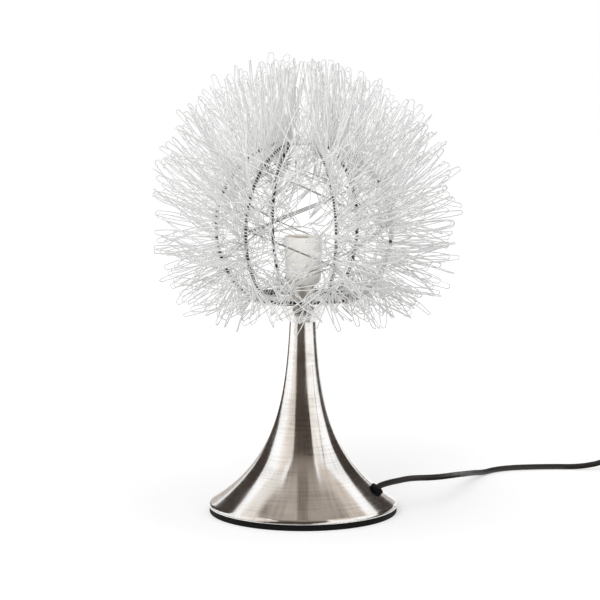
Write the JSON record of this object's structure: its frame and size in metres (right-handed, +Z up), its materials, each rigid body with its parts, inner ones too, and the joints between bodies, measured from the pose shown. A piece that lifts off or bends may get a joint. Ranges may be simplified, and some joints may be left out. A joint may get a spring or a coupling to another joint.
{
  "type": "table lamp",
  "caption": "Table lamp with a ball shade of bright wire loops on a black rod cage, standing on a flared brushed metal base with a corded rocker switch.",
  "frame": {"origin": "on the table, under the middle of the base", "axes": "+Z up along the stem, +X toward the side where the cord leaves, -Y toward the viewer of the picture"},
  "size_m": [0.5963, 0.3525, 0.4311],
  "materials": {
    "black_foot": "matt black pad",
    "brushed_nickel": "fine round brushing, warm grey",
    "ballast_iron": "rough casting",
    "plated_steel": "zinc plate",
    "collar_metal": "satin",
    "cream_plastic": "satin moulding",
    "contact_brass": "bright stamped",
    "black_cord": "smooth round sheath",
    "black_grommet": "moulded",
    "black_rod": "satin black",
    "bright_wire": "bright drawn wire",
    "black_plastic": "satin moulding",
    "rocker_plastic": "satin moulding",
    "plug_pin": "nickel plate"
  },
  "bodies": {
    "base": {"foot_pad": "black_foot", "base_shell": "brushed_nickel", "shade_dish": "brushed_nickel", "ballast": "ballast_iron", "lower_washer": "plated_steel", "lower_nut": "plated_steel", "stem_tube": "plated_steel", "dish_nut": "plated_steel", "holder_collar": "collar_metal", "holder_cap": "cream_plastic", "holder_skirt": "cream_plastic", "holder_core": "cream_plastic", "screw_shell": "contact_brass", "centre_contact": "contact_brass", "terminal_screws": "contact_brass", "inner_cord": "black_cord", "cord_grommet": "black_grommet", "cord_lead": "black_cord", "cord_link": "black_cord", "cord_coil": "black_cord", "cord_tail": "black_cord", "coil_tie": "black_plastic", "switch_lower_case": "black_plastic", "switch_upper_case": "black_plastic", "switch_screws": "plated_steel", "switch_contacts": "contact_brass", "plug_body": "black_plastic", "plug_pins": "plug_pin"},
    "shade": {"cage_bottom_ring": "black_rod", "cage_top_ring": "black_rod", "cage_ribs": "black_rod", "lacing_wire_right": "bright_wire", "lacing_wire_left": "bright_wire", "wire_loops_1_upper": "bright_wire", "wire_loops_1_middle": "bright_wire", "wire_loops_1_lower": "bright_wire", "wire_loops_2_upper": "bright_wire", "wire_loops_2_middle": "bright_wire", "wire_loops_2_lower": "bright_wire", "wire_loops_3_upper": "bright_wire", "wire_loops_3_middle": "bright_wire", "wire_loops_3_lower": "bright_wire", "wire_loops_4_upper": "bright_wire", "wire_loops_4_middle": "bright_wire", "wire_loops_4_lower": "bright_wire", "wire_loops_5_upper": "bright_wire", "wire_loops_5_middle": "bright_wire", "wire_loops_5_lower": "bright_wire", "wire_loops_6_upper": "bright_wire", "wire_loops_6_middle": "bright_wire", "wire_loops_6_lower": "bright_wire"},
    "rocker": {"switch_rocker": "rocker_plastic"}
  },
  "joints": [
    {"name": "shade_lift", "type": "slide", "parent": "base", "child": "shade", "axis": [0, 0, 1], "range_m": [0, 0.12]},
    {"name": "rocker_tilt", "type": "hinge", "parent": "base", "child": "rocker", "pos_m": [0.35, 0.196, 0.0125], "axis": [0, 1, 0], "range_deg": [-16, 0]}
  ]
}
